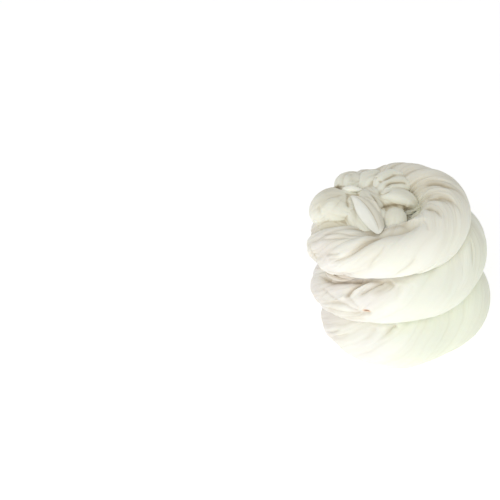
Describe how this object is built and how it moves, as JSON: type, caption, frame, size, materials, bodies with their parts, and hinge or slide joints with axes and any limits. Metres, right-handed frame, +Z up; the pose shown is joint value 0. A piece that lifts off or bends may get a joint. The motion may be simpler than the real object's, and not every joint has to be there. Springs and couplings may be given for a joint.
{
  "type": "coiled hank of ribbon yarn",
  "caption": "Soft twisted bundle of undyed ribbon yarn wound into a stacked coil, with gathered folds and a loose end on top.",
  "frame": {"origin": "under the middle of the coil's box, on the surface that it rests on", "axes": "+Z up from the surface, -Y towards the side that shows, +X to the right of that side, which is also the way the stack leans at its foot"},
  "size_m": [0.1566, 0.1396, 0.1421],
  "materials": {
    "undyed_ribbon": "soft undyed silk ribbon, matt with a faint sheen along the pleats"
  },
  "bodies": {
    "root": {"coiled_hank": "undyed_ribbon", "loose_end": "undyed_ribbon"}
  },
  "joints": []
}
